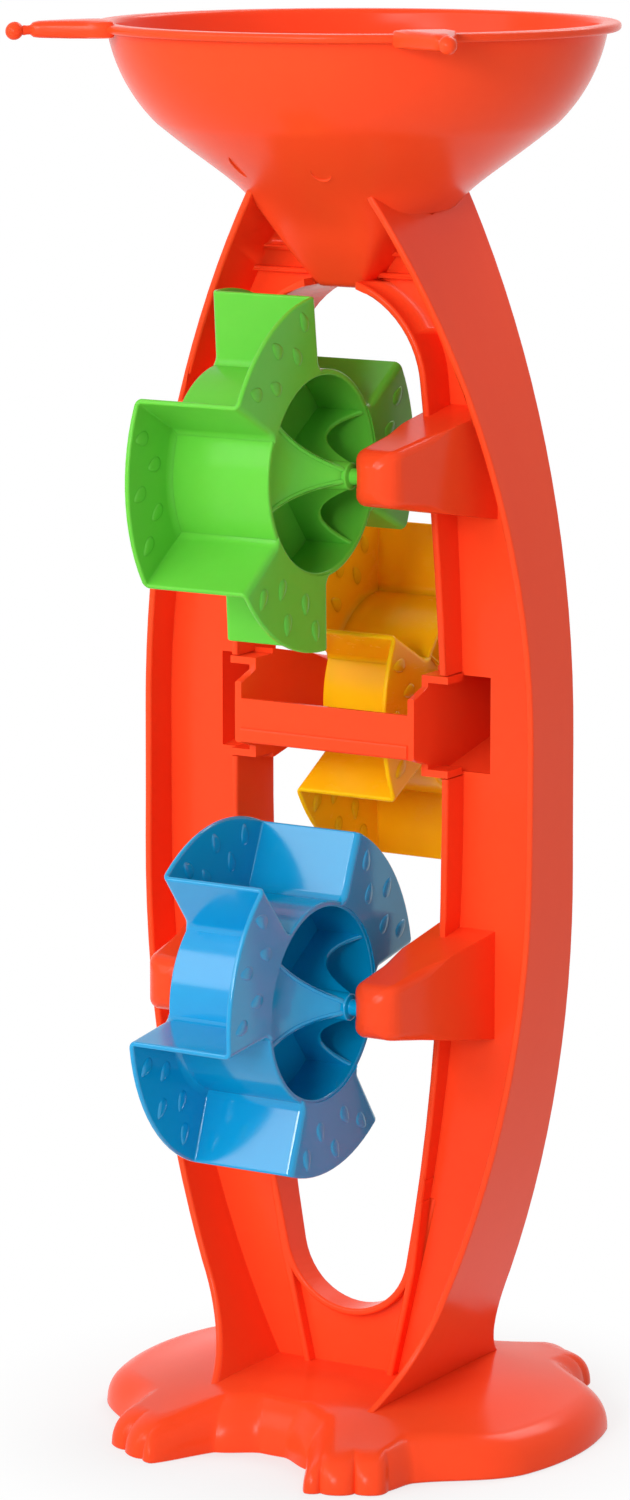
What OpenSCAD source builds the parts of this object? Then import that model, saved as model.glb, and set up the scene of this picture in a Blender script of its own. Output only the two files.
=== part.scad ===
/* [Base] */
// Height of the base shell, floor to flat top
base_h = 12; // [9:0.5:18]
// Largest radius of the base, at its round sides
base_r = 80; // [76:1:95]
// Radius left at the middle of the front and back bays
bay_r = 50; // [46:1:58]
// How far the rounded shoulder comes in from the edge
shoulder = 12; // [8:0.5:15]
// Wall of the base shell
base_wall = 2.2; // [1.6:0.1:3]

/* [Hoop frame] */
// Half the width of the hoop at its widest
hoop_half_w = 69; // [64:0.5:80]
// Height where the upper sweep of the hoop starts
sweep_top_z = 220; // [210:1:230]
// Height where the lower sweep of the hoop starts
sweep_low_z = 180; // [170:1:190]
// Radius of the upper sweep of the outer edge
outer_top_r = 310; // [300:1:330]
// Radius of the lower sweep of the outer edge
outer_low_r = 362; // [345:1:375]
// Half the width of the opening at its widest
opening_half_w = 36.4; // [34:0.2:40]
// Height of the widest place of the opening
opening_mid_z = 200; // [190:1:210]
// Sweep radius of the opening above its widest place
opening_top_r = 1400; // [1200:10:1600]
// Sweep radius of the opening below its widest place
opening_low_r = 720; // [680:5:780]
// Height of the centre of the round top end of the opening
opening_top_z = 326; // [322:1:330]
// Height of the centre of the round low end of the opening
opening_low_z = 57; // [54:1:60]
// Half the depth of the outer flange at its waist
flange_half_d = 13; // [12:0.5:16]
// Half the depth of the inner rib beside the wheels
rib_half_d = 11; // [9:0.5:12]
// Wall of the flange, the web and the rib
frame_wall = 2.2; // [1.8:0.1:3]

/* [Wheels] */
// Outer radius of the wheel's drum
drum_r = 31; // [28:0.5:33]
// Radius that the paddle tips reach
tip_r = 53; // [50:0.5:54]
// Length of the wheel along its axle
wheel_len = 36; // [33:0.5:39]
// Wall of the drum, the paddles and the end plates
wheel_wall = 1.8; // [1.4:0.1:2.4]
// Diameter of the stub axles
stub_d = 5; // [4.5:0.1:6]
// Distance of the top and bottom axles in front of the frame's middle plane
front_offset = 48.5; // [47:0.5:52]
// Distance of the middle axle behind the frame's middle plane
back_offset = 40; // [39:0.5:43]
// Height of the middle wheel's axle
middle_axle_z = 224; // [222:1:226]
// Height between one axle and the next
axle_step = 80; // [78:1:82]
// Angle that one right-hand end plate spans
plate_span = 57; // [50:1:64]

/* [Funnel] */
// Outer radius of the funnel's lip
rim_r = 79; // [76:0.5:90]
// Height of the funnel's lip above the floor
rim_z = 434; // [430:1:440]
// Thickness of the lip
lip_h = 2.6; // [2:0.1:3.2]
// Wall of the bowl and the spout
funnel_wall = 2; // [1.5:0.1:2.6]

/* [Tool hooks] */
// Reach of a hook past the lip, ball included
hook_reach = 28; // [24:1:34]
// Width of a hook where it grips the lip
hook_root_w = 18.6; // [16:0.2:22]
// Diameter of the ball at the hook's end
hook_ball_d = 5.4; // [4.6:0.1:7]

/* [Hidden] */

red = "#ee3c1e";
green = "#5fc43c";
yellow = "#f7b316";
blue = "#27a0e0";

// Clearances between pieces, and how far a cut runs past the face it opens
fit_gap = 0.15;
free_gap = 0.3;
bore_gap = 0.08;
past = 1;
round_sides = 96;

// Base: angles from the side axis between which the edge dips, the foot rises, and the bay's
// wall and floor turn; and the toes
dip_angles = [18, 43];
foot_angles = [44.5, 54.5];
bay_wall_angles = [69.8, 73.4];
bay_floor_angles = [70.5, 82.5];
foot_dip = 8;
bay_floor_drop = 10;
toe_angles = [55.6, 63, 70.3];
toe_half_angle = 3.5;
toe_past = 2;
toe_groove = 1.6;
base_steps = 180;
shoulder_steps = 4;
inner_steps = 3;

// Hoop: side profile of the outer flange and of the rib
waist_z = 220;
waist_top_r = 896;
waist_low_r = 1960;
foot_flare_r = 38;
foot_flare_z = 48;
rib_top_half_d = 16;
rib_low_half_d = 5;
rib_low_z = 40;
rib_top_z = 360;
leg_rib_top = [27.4, 74];
leg_rib_foot = [13, 12];
hoop_depth = 130;
hoop_top_z = 405;
tenon_w = 3.4;
tenon_d = 16;
tenon_drop = 7;
tenon_in = 1;
tenon_y = 24;

// Noses that carry the stub axles
nose_in_x = 29.5;
nose_root_x = 50;
nose_tip_x = 44.5;
nose_past_axle = 5.5;
nose_inner_round = 6;
nose_outer_round = 8;
nose_root_half_h = 17;
nose_tip_half_h = 8.6;
nose_wall = 2.2;
nose_collar_half_h = 15.5;
bearing_pad_r = 5.2;
bearing_depth = 5.6;
bearing_recess_r = 4.4;
bearing_recess = 1.8;
arc_steps = 7;

// Bar that ties the legs together in front of the middle wheel
tie_front_y = -19.4;
tie_thick = 2.4;
tie_low_z = 214.6;
tie_h = 13.6;
tie_step = 0.6;
tie_step_h = 4.6;
tie_tab_half_h = 9.5;

// Seat of the funnel at the top of the hoop
seat_z = 376;
seat_half_d = 8;
ledge_heights = [357.8, 364.4];
ledge_wall = 1.6;
ledge_half_d = 4.5;

// Funnel: meridian of the bowl and taper of the square spout
lip_w = 4;
bowl_arc_r = 51;
bowl_arc_from = 10;
bowl_arc_to = 54;
bowl_foot_r = 23;
spout_top_half = [18.5, 20.5];
spout_foot_half = [7.9, 10.2];
spout_foot_z = 355;
spout_throat_z = 380;
lug_z = 372.2;
lug_h = 1.4;
lug_w = 8;
lug_out = 1;

// Wheel: hub, fins and stubs
hub_r = 4.1;
shoulder_x = 27.5;
stub_end_x = 35;
fin_power = 3;
fin_dip = 8;
fin_dip_power = 0.83;
end_step = 0.4;
fin_wall = 1.6;
trumpet_fin_angles = [145, 196];
dipped_fin_angles = [32, 309];
skin_from = 145;
skin_to = 196;
skin_steps = 12;
skin_step_down = 1;
paddle_short = 0.5;
top_phase = 4;
middle_phase = 60;
bottom_phase = 38;

// Hooks
hook_angle = 45;
hook_tip_w = 5.4;
hook_neck_d = 2.8;
hook_neck_len = 2.4;
hook_above = 1.3;
hook_below = 1.5;
hook_grip = 3;
hook_droop = 3.4;

// Heights and places worked out from the values above
top_axle_z = middle_axle_z + axle_step;
bottom_axle_z = middle_axle_z - axle_step;
lip_low_z = rim_z - lip_h;
wheel_half = wheel_len / 2;
drum_half = wheel_half - end_step;
sweep_drop = sweep_low_z - base_h;
tenon_x = hoop_half_w - outer_low_r + sqrt(outer_low_r * outer_low_r - sweep_drop * sweep_drop) - tenon_in;
paddle_half = wheel_half - 2 * end_step;
// How far all is moved back, so that the middle of the toy's depth is on the origin
depth_shift = (front_offset - back_offset) / 2;

// Point on a circle of radius r round c, at an angle in degrees
function on_arc(c, r, angle) = [c[0] + r * cos(angle), c[1] + r * sin(angle)];
// Points along an arc
function arc_points(c, r, from, to, steps) =
    [for (i = [0 : steps]) on_arc(c, r, from + (to - from) * i / steps)];
// Rises smoothly from 0 to 1 while x goes from a to b
function smooth_step(a, b, x) =
    let (t = min(1, max(0, (x - a) / (b - a)))) t * t * (3 - 2 * t);
// A smooth bump of height 1 and half width w round x = 0
function bump(x, w) = 1 - smooth_step(0, w, abs(x));

// Angle from the side axis, folded into one quarter turn
function quarter_angle(angle) = abs(asin(sin(angle)));
// Radius of the base's edge at an angle, brought in by a distance. The bay's wall is nearly
// radial, so it also turns away from the bay by that distance
function edge_radius(angle, back) =
    let (q = quarter_angle(angle),
         away = q + asin(back / base_r),
         toes = max([for (t = toe_angles) bump(q - t, toe_half_angle)]),
         foot = smooth_step(foot_angles[0], foot_angles[1], q),
         side = base_r - foot_dip * smooth_step(dip_angles[0], dip_angles[1], q)
                + (foot_dip + toe_past - toe_groove * (1 - toes)) * foot,
         wall_r = bay_r + bay_floor_drop,
         wall = side + (wall_r - side) * smooth_step(bay_wall_angles[0], bay_wall_angles[1], away))
    wall - bay_floor_drop * smooth_step(bay_floor_angles[0], bay_floor_angles[1], away) - back;

// How far the shoulder has come in at a tilt from 0 to 90 degrees
function shoulder_in(inset, tilt) = inset + (shoulder - inset / 2) * (1 - cos(tilt));
// One ring of the base's skin at a tilt
function skin_ring(inset, tilt) =
    [for (i = [0 : base_steps - 1])
        let (a = 360 * i / base_steps, r = edge_radius(a, shoulder_in(inset, tilt)))
        [r * cos(a), r * sin(a), (base_h - inset) * sin(tilt)]];

// Shell of the base: outer skin up to the top, inner skin back down to the floor
module base_shell() {
    outer = [for (k = [0 : shoulder_steps]) skin_ring(0, 90 * k / shoulder_steps)];
    inner = [for (k = [inner_steps : -1 : 0]) skin_ring(base_wall, 90 * k / inner_steps)];
    rings = concat(outer, inner);
    points = concat([for (ring = rings) each ring], [[0, 0, base_h], [0, 0, base_h - base_wall]]);
    n = base_steps;
    last = len(rings) - 1;
    sides = [for (k = [0 : last], i = [0 : n - 1])
        let (next = (k + 1) % len(rings), j = (i + 1) % n)
        if (k != shoulder_steps) each [[k * n + i, next * n + i, next * n + j],
                                       [k * n + i, next * n + j, k * n + j]]];
    top_row = shoulder_steps * n;
    ceiling_row = top_row + n;
    middle = len(rings) * n;
    top = [for (i = [0 : n - 1]) [middle, top_row + (i + 1) % n, top_row + i]];
    ceiling = [for (i = [0 : n - 1]) [middle + 1, ceiling_row + i, ceiling_row + (i + 1) % n]];
    polyhedron(points = points, faces = concat(sides, top, ceiling), convexity = 8);
}

// Slots that the hoop's tenons drop into
module at_tenons() {
    for (sx = [-1, 1], sy = [-1, 1])
        translate([sx * tenon_x, sy * tenon_y, 0]) children();
}

module base() {
    color(red) difference() {
        base_shell();
        at_tenons()
            translate([-tenon_w / 2 - fit_gap, -tenon_d / 2 - fit_gap, base_h - base_wall - past])
                cube([tenon_w + 2 * fit_gap, tenon_d + 2 * fit_gap, base_wall + 2 * past]);
    }
}

// Outline between two mirrored sweeps, cut to a stretch of height
module lens(half_w, r, z_mid, z_from, z_to) {
    intersection() {
        translate([half_w - r, z_mid]) circle(r = r, $fn = round_sides);
        translate([r - half_w, z_mid]) circle(r = r, $fn = round_sides);
        translate([-2 * half_w, z_from]) square([4 * half_w, z_to - z_from]);
    }
}

// Outer outline of the hoop, brought in by an inset
module hoop_outline(inset) {
    w = hoop_half_w - inset;
    lens(w, outer_top_r - inset, sweep_top_z, sweep_top_z - past, hoop_top_z);
    lens(w, outer_low_r - inset, sweep_low_z, base_h, sweep_low_z + past);
    translate([-w, sweep_low_z]) square([2 * w, sweep_top_z - sweep_low_z]);
}

// Radius of a circle on the centre line that touches both sweeps from inside
function end_radius(r, half_w, rise) = r - sqrt((r - half_w) * (r - half_w) + rise * rise);

// Half of the opening from its widest place to one round end
module opening_half(half_w, r, z_mid, z_end) {
    rise = abs(z_end - z_mid);
    end_r = end_radius(r, half_w, rise);
    touch_z = z_end + end_r * (z_end - z_mid) / (r - end_r);
    lens(half_w, r, z_mid, min(z_mid - past, touch_z), max(z_mid + past, touch_z));
    translate([0, z_end]) circle(r = end_r, $fn = round_sides);
}

// Outline of the opening, let out by a margin
module opening_outline(margin) {
    w = opening_half_w + margin;
    opening_half(w, opening_top_r + margin, opening_mid_z, opening_top_z);
    opening_half(w, opening_low_r + margin, opening_mid_z, opening_low_z);
}

// Stands an outline drawn as width and height up on the frame's middle plane
module across(depth) {
    rotate([90, 0, 0]) translate([0, 0, -depth / 2]) linear_extrude(depth) children();
}

// Stands an outline drawn as depth and height up along the frame's width
module along(width) {
    rotate([90, 0, 90]) translate([0, 0, -width / 2]) linear_extrude(width) children();
}

// Side profile of the outer flange: a waist that flares into the foot
module flange_profile() {
    difference() {
        translate([-hoop_depth / 2, base_h]) square([hoop_depth, hoop_top_z - base_h]);
        for (s = [-1, 1]) {
            intersection() {
                translate([s * (flange_half_d + waist_top_r), waist_z])
                    circle(r = waist_top_r, $fn = round_sides);
                translate([-hoop_depth, waist_z]) square([2 * hoop_depth, hoop_top_z]);
            }
            intersection() {
                translate([s * (flange_half_d + waist_low_r), waist_z])
                    circle(r = waist_low_r, $fn = round_sides);
                translate([-hoop_depth, foot_flare_z]) square([2 * hoop_depth, waist_z - foot_flare_z]);
            }
            translate([s * (low_flare_y() + foot_flare_r), foot_flare_z])
                circle(r = foot_flare_r, $fn = round_sides);
            translate([s * (low_flare_y() + foot_flare_r) - (s < 0 ? hoop_depth : 0), base_h])
                square([hoop_depth, foot_flare_z - base_h]);
        }
    }
}

// Half depth of the flange where the foot's flare starts
function low_flare_y() =
    flange_half_d + waist_low_r
    - sqrt(waist_low_r * waist_low_r - (waist_z - foot_flare_z) * (waist_z - foot_flare_z));

// Side profile of the inner rib, deep at the top and shallow at the foot
module rib_profile() {
    polygon([[-rib_low_half_d, base_h], [rib_low_half_d, base_h], [rib_low_half_d, rib_low_z],
             [rib_half_d, sweep_low_z], [rib_half_d, sweep_top_z], [rib_top_half_d, rib_top_z],
             [-rib_top_half_d, rib_top_z], [-rib_half_d, sweep_top_z], [-rib_half_d, sweep_low_z],
             [-rib_low_half_d, rib_low_z]]);
}

module outer_flange() {
    intersection() {
        across(hoop_depth) difference() {
            hoop_outline(0);
            hoop_outline(frame_wall);
        }
        along(4 * hoop_half_w) flange_profile();
    }
}

module web() {
    across(frame_wall) difference() {
        hoop_outline(frame_wall / 2);
        opening_outline(frame_wall / 2);
    }
}

module inner_rib() {
    intersection() {
        across(hoop_depth) difference() {
            opening_outline(frame_wall);
            opening_outline(0);
        }
        along(4 * hoop_half_w) rib_profile();
    }
}

// Straight ribs that carry on from the opening's sides down to the foot
module leg_ribs() {
    intersection() {
        across(hoop_depth) difference() {
            intersection() {
                union() for (s = [-1, 1])
                    polygon([[s * leg_rib_top[0], leg_rib_top[1]],
                             [s * (leg_rib_top[0] + frame_wall), leg_rib_top[1]],
                             [s * (leg_rib_foot[0] + frame_wall), leg_rib_foot[1]],
                             [s * leg_rib_foot[0], leg_rib_foot[1]]]);
                hoop_outline(frame_wall / 2);
            }
            opening_outline(frame_wall / 2);
        }
        along(4 * hoop_half_w) rib_profile();
    }
}

// Plan of a nose that points to the front, drawn for the right leg
module nose_plan(offset, inset, back_y) {
    x0 = nose_in_x + inset;
    tip = -offset - nose_past_axle + inset;
    r0 = nose_inner_round - inset;
    r1 = nose_outer_round - inset;
    x1 = nose_tip_x - inset;
    polygon(concat(
        [[x0, back_y]],
        arc_points([x0 + r0, tip + r0], r0, 180, 270, arc_steps),
        arc_points([x1 - r1, tip + r1], r1, 270, 353, arc_steps),
        [[nose_root_x - inset, 0], [nose_root_x - inset, back_y]]));
}

// Side view of a nose, drawn as depth and height round its axle
module nose_side(offset, inset, back_y) {
    tip = -offset - nose_past_axle + inset;
    half_tip = nose_tip_half_h - inset;
    half_root = nose_root_half_h - inset;
    r = nose_inner_round - inset;
    polygon(concat(
        [[back_y, half_root], [0, half_root]],
        arc_points([tip + r, half_tip - r], r, 98, 180, arc_steps),
        arc_points([tip + r, r - half_tip], r, 180, 262, arc_steps),
        [[0, -half_root], [back_y, -half_root]]));
}

// Closed body of a nose round height 0, let in by an inset
module nose_body(offset, inset, back_y) {
    intersection() {
        translate([0, 0, -nose_root_half_h]) linear_extrude(2 * nose_root_half_h)
            nose_plan(offset, inset, back_y);
        translate([nose_root_x, 0, 0]) along(4 * nose_root_x) nose_side(offset, inset, back_y);
    }
}

// Collar behind the web, where the nose's box stands inside the opening
module nose_collar() {
    x_wall = opening_half_w + frame_wall - nose_in_x;
    difference() {
        translate([nose_in_x, 0, -nose_collar_half_h])
            cube([x_wall, rib_half_d, 2 * nose_collar_half_h]);
        translate([nose_in_x + nose_wall, -past, nose_wall - nose_collar_half_h])
            cube([x_wall, rib_half_d + 2 * past, 2 * (nose_collar_half_h - nose_wall)]);
    }
}

// What a nose adds to the frame, round its axle at height 0
module nose(offset) {
    nose_body(offset, 0, frame_wall / 2);
    nose_collar();
}

// Hole for a stub axle through a nose's inner wall
module bearing_hole(offset, d, depth) {
    translate([nose_in_x - past, -offset, 0]) rotate([0, 90, 0])
        cylinder(d = d, h = depth + past, $fn = round_sides);
}

// What a nose takes out of the frame: its hollow and the bearing's recess
module nose_hollow(offset) {
    difference() {
        nose_body(offset, nose_wall, frame_wall / 2 + past);
        bearing_hole(offset, 2 * bearing_pad_r, bearing_depth);
    }
    bearing_hole(offset, 2 * bearing_recess_r, bearing_recess);
}

// Both legs: the top and bottom noses point to the front, the middle ones to the back
module each_leg() {
    for (mx = [0, 1]) mirror([mx, 0, 0]) children();
}
module at_front() {
    each_leg() for (z = [bottom_axle_z, top_axle_z]) translate([0, 0, z]) children();
}
module at_back() {
    each_leg() translate([0, 0, middle_axle_z]) mirror([0, 1, 0]) children();
}

// Bar between the legs, with the tabs that carry its ends
module tie_bar() {
    translate([-nose_in_x, tie_front_y, tie_low_z]) cube([2 * nose_in_x, tie_thick, tie_h]);
    translate([-nose_in_x, tie_front_y - tie_step, tie_low_z])
        cube([2 * nose_in_x, tie_thick, tie_step_h]);
    for (s = [-1, 1])
        translate([s * (nose_in_x + nose_wall / 2), 0, middle_axle_z]) along(nose_wall)
                polygon([[-rib_half_d, -tie_tab_half_h - tie_thick], [tie_front_y, -tie_tab_half_h],
                         [tie_front_y, tie_tab_half_h], [-rib_half_d, tie_tab_half_h + tie_thick]]);
}

// Square that the spout fills at a height, let out by a margin
function spout_half(z, k) =
    let (share = (z - spout_foot_z) / (spout_throat_z - spout_foot_z))
    spout_foot_half[k] + (spout_top_half[k] - spout_foot_half[k]) * share;

// Tapering square solid of the spout between two heights
module spout_solid(margin, z_from, z_to) {
    intersection() {
        across(hoop_depth) polygon([
            [-spout_half(z_from, 0) - margin, z_from], [spout_half(z_from, 0) + margin, z_from],
            [spout_half(z_to, 0) + margin, z_to], [-spout_half(z_to, 0) - margin, z_to]]);
        along(hoop_depth) polygon([
            [-spout_half(z_from, 1) - margin, z_from], [spout_half(z_from, 1) + margin, z_from],
            [spout_half(z_to, 1) + margin, z_to], [-spout_half(z_to, 1) - margin, z_to]]);
    }
}

// Flat seat under the bowl, and ledges that grip the spout
module funnel_seat() {
    intersection() {
        across(hoop_depth) hoop_outline(frame_wall / 2);
        along(4 * hoop_half_w) flange_profile();
        union() {
            translate([-hoop_half_w, -seat_half_d, seat_z - frame_wall])
                cube([2 * hoop_half_w, 2 * seat_half_d, frame_wall]);
            for (z = ledge_heights)
                translate([-hoop_half_w, -ledge_half_d, z])
                    cube([2 * hoop_half_w, 2 * ledge_half_d, ledge_wall]);
        }
    }
}

// Room that the funnel takes out of the top of the hoop
module funnel_room() {
    spout_solid(free_gap, spout_foot_z - 2 * free_gap, seat_z + past);
    rotate_extrude($fn = round_sides) bowl_outline(-free_gap, seat_z);
    for (s = [-1, 1])
        translate([s * spout_half(lug_z, 0), 0, lug_z])
            cube([2 * (lug_out + free_gap), lug_w + 2 * free_gap, 2 * (lug_h + free_gap)], center = true);
}

// Tenons below the flanges that drop into the base
module hoop_foot() {
    at_tenons() translate([-tenon_w / 2, -tenon_d / 2, base_h - tenon_drop])
        cube([tenon_w, tenon_d, tenon_drop + frame_wall]);
}

module hoop_frame() {
    color(red) difference() {
        union() {
            difference() {
                union() {
                    web();
                    inner_rib();
                }
                at_front() nose_body(front_offset, nose_wall / 2, rib_half_d + past);
                at_back() nose_body(back_offset, nose_wall / 2, rib_half_d + past);
            }
            outer_flange();
            leg_ribs();
            difference() {
                union() {
                    at_front() nose(front_offset);
                    at_back() nose(back_offset);
                }
                at_front() nose_hollow(front_offset);
                at_back() nose_hollow(back_offset);
            }
            tie_bar();
            funnel_seat();
            hoop_foot();
        }
        funnel_room();
        at_front() bearing_hole(front_offset, stub_d + 2 * bore_gap, bearing_depth + past);
        at_back() bearing_hole(back_offset, stub_d + 2 * bore_gap, bearing_depth + past);
    }
}

// Outer meridian of the bowl from lip to foot, moved in by an inset
function bowl_line(inset) =
    let (r = bowl_arc_r - inset,
         start = rim_r - lip_w,
         c = [start - bowl_arc_r * cos(bowl_arc_from), lip_low_z + bowl_arc_r * sin(bowl_arc_from)],
         arc = arc_points(c, r, -bowl_arc_from, -bowl_arc_to, arc_steps + 3))
    concat(arc, [[bowl_foot_r - inset, seat_z + inset]]);

// Solid of revolution under the bowl's outer face, moved in by an inset
module bowl_outline(inset, z_low) {
    line = bowl_line(inset);
    foot = line[len(line) - 1];
    polygon(concat([[0, rim_z + past], [line[0][0], rim_z + past]], line,
                   [[foot[0], min(foot[1], z_low)], [0, min(foot[1], z_low)]]));
}

module funnel() {
    color(red) difference() {
        union() {
            intersection() {
                rotate_extrude($fn = round_sides) bowl_outline(0, seat_z);
                translate([0, 0, (seat_z + rim_z) / 2])
                    cube([2 * rim_r, 2 * rim_r, rim_z - seat_z], center = true);
            }
            translate([0, 0, lip_low_z]) cylinder(r = rim_r, h = lip_h, $fn = round_sides);
            spout_solid(0, spout_foot_z, spout_throat_z);
            for (s = [-1, 1])
                translate([s * spout_half(lug_z, 0), 0, lug_z])
                    cube([2 * lug_out, lug_w, lug_h], center = true);
        }
        rotate_extrude($fn = round_sides) bowl_outline(funnel_wall, seat_z + funnel_wall);
        spout_solid(-funnel_wall, spout_foot_z - past, spout_throat_z + funnel_wall);
    }
}

// Hook that grips the lip and ends in a ball, pointing along the width axis
module tool_hook() {
    body_h = hook_above + lip_h + hook_below;
    tongue_end = rim_r + hook_reach - hook_ball_d - hook_neck_len;
    color(red) difference() {
        translate([0, 0, rim_z + hook_above - body_h]) union() {
            linear_extrude(body_h) polygon([
                [rim_r - hook_grip, -hook_root_w / 2], [rim_r + hook_above, -hook_root_w / 2],
                [tongue_end, -hook_tip_w / 2], [tongue_end, hook_tip_w / 2],
                [rim_r + hook_above, hook_root_w / 2], [rim_r - hook_grip, hook_root_w / 2]]);
            translate([tongue_end - past, 0, body_h / 2]) rotate([0, 90 + hook_droop, 0])
                cylinder(d = hook_neck_d, h = hook_neck_len + past + hook_ball_d / 2, $fn = round_sides / 3);
            translate([rim_r + hook_reach - hook_ball_d / 2, 0, body_h / 2 - sin(hook_droop) * hook_neck_len])
                sphere(d = hook_ball_d, $fn = round_sides / 3);
        }
        translate([0, 0, lip_low_z - fit_gap / 2])
            cylinder(r = rim_r + fit_gap, h = lip_h + fit_gap / 2, $fn = round_sides);
    }
}

module left_tool_hook() {
    rotate([0, 0, -90 - hook_angle]) tool_hook();
}

module right_tool_hook() {
    rotate([0, 0, -90 + hook_angle]) tool_hook();
}

// Turns a shape drawn round the up axis so that it lies round the width axis,
// with angles counted from the back towards the top
module round_axle() {
    rotate([90, 0, 90]) children();
}

// Closed ring sector between two radii
module sector(r_in, r_out, from, to, h) {
    rotate([0, 0, from]) rotate_extrude(angle = to - from, $fn = round_sides)
        translate([r_in, 0]) square([r_out - r_in, h]);
}

// Share of the way in from the drum's wall to the hub at a radius
function inward(r) = max(0, (drum_r - wheel_wall - r) / (drum_r - wheel_wall - hub_r));
// Distance along the axle of a fin's edge at a radius: a trumpet curve less a dip
function fin_edge(r, dip) =
    paddle_half + (shoulder_x - paddle_half) * pow(inward(r), fin_power)
    - dip * sin(180 * pow(inward(r), fin_dip_power));

// Curve of a fin's edge from the hub to the drum, moved down by a drop
function fin_curve(drop, dip) =
    [for (i = [0 : skin_steps])
        let (r = hub_r + (drum_r - wheel_wall - hub_r) * i / skin_steps) [r, fin_edge(r, dip) - drop]];

// Upright fin from the hub to the drum's wall
module fin(dip) {
    edge = fin_curve(end_step, dip);
    rotate([90, 0, 0]) translate([0, 0, -fin_wall / 2]) linear_extrude(fin_wall)
        polygon(concat([[0, 0], [0, edge[0][1]]], edge,
                       [[drum_r - wheel_wall / 2, paddle_half - end_step], [drum_r - wheel_wall / 2, 0]]));
}

// Fins and the closed trumpet skin on one side of the middle disc
module hub_side() {
    for (a = trumpet_fin_angles) rotate([0, 0, a]) fin(0);
    for (a = dipped_fin_angles) rotate([0, 0, a]) fin(fin_dip);
    upper = fin_curve(skin_step_down, 0);
    under = fin_curve(skin_step_down + fin_wall, 0);
    wall_r = drum_r - wheel_wall / 2;
    rotate([0, 0, skin_from]) rotate_extrude(angle = skin_to - skin_from, $fn = round_sides)
        polygon(concat([[hub_r / 2, upper[0][1]]], upper,
                       [[wall_r, paddle_half - skin_step_down],
                        [wall_r, paddle_half - skin_step_down - fin_wall]],
                       [for (i = [len(under) - 1 : -1 : 0]) under[i]], [[hub_r / 2, under[0][1]]]));
}

// Wheel round the up axis, the right-hand plates at the top end
module wheel_body(phase) {
    inner = drum_r - wheel_wall;
    difference() {
        translate([0, 0, -drum_half]) cylinder(r = drum_r, h = 2 * drum_half, $fn = round_sides);
        translate([0, 0, -wheel_half - past]) cylinder(r = inner, h = wheel_len + 2 * past, $fn = round_sides);
    }
    translate([0, 0, -fin_wall / 2]) cylinder(r = inner + wheel_wall / 2, h = fin_wall, $fn = round_sides);
    for (k = [0 : 2]) {
        centre = phase + 120 * k;
        for (side = [-1, 1])
            rotate([0, 0, centre + side * plate_span / 2])
                translate([inner + wheel_wall / 2, -wheel_wall / 2, -paddle_half])
                    cube([paddle_reach(), wheel_wall, 2 * paddle_half]);
    }
}

// Length of a paddle, whose outer edge ends a little inside the tip circle
function paddle_reach() = tip_r - paddle_short - (drum_r - wheel_wall / 2);

module end_plates(phase) {
    for (k = [0 : 2]) {
        right_centre = phase + 120 * k;
        left_centre = right_centre + 60;
        left_span = 120 - plate_span;
        translate([0, 0, wheel_half - wheel_wall])
            sector(drum_r - wheel_wall / 2, tip_r, right_centre - plate_span / 2,
                   right_centre + plate_span / 2, wheel_wall);
        translate([0, 0, -wheel_half])
            sector(drum_r - wheel_wall / 2, tip_r, left_centre - left_span / 2,
                   left_centre + left_span / 2, wheel_wall);
    }
}

// Whole wheel round its own axle
module wheel(phase) {
    round_axle() {
        wheel_body(phase);
        end_plates(phase);
        hub_side();
        mirror([0, 0, 1]) hub_side();
        translate([0, 0, -shoulder_x]) cylinder(r = hub_r, h = 2 * shoulder_x, $fn = round_sides);
        translate([0, 0, -stub_end_x]) cylinder(d = stub_d, h = 2 * stub_end_x, $fn = round_sides);
    }
}

module top_wheel() {
    color(green) translate([0, -front_offset, top_axle_z]) wheel(top_phase);
}

module middle_wheel() {
    color(yellow) translate([0, back_offset, middle_axle_z]) wheel(middle_phase);
}

module bottom_wheel() {
    color(blue) translate([0, -front_offset, bottom_axle_z]) wheel(bottom_phase);
}

// Moves a piece to its place in the toy
module placed() {
    translate([0, depth_shift, 0]) children();
}

placed() base();
placed() hoop_frame();
placed() funnel();
placed() left_tool_hook();
placed() right_tool_hook();
placed() top_wheel();
placed() middle_wheel();
placed() bottom_wheel();
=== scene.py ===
# %% [markdown]
# # Sand wheel toy
# A child's sand and water mill: a wide funnel pours over three bright paddle wheels that turn
# between the legs of a tall red hoop. Everything is injection-moulded plastic, so the shapes are
# thin walls with small rounds, and the finish is satin gloss. The notebook loads the engineering
# model as a fixed frame, then dresses each moulding with a smoother surface worked out in numpy.
#
# Every formula below is written about the hoop's middle plane. The shared frame has its origin
# 4.25 mm in front of that plane, under the middle of the whole toy, so one shift is added wherever
# millimetres become points of the scene.

# %% Load the engineering frame
import math
import bmesh
import bpy
import numpy as np
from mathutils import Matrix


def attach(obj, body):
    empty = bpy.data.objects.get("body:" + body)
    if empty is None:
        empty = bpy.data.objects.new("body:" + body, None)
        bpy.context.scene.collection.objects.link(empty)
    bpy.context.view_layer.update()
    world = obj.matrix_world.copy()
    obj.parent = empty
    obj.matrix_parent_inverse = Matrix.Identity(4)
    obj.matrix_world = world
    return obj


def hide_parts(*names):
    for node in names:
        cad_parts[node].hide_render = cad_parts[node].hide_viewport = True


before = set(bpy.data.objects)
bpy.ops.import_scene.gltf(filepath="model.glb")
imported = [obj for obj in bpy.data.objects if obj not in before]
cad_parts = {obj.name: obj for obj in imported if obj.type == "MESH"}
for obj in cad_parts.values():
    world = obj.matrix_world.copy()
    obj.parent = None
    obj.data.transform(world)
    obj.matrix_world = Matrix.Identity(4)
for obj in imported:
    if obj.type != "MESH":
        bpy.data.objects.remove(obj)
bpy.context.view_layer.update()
MM = 0.001
SHIFT = np.array([0, 4.25, 0])

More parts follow.
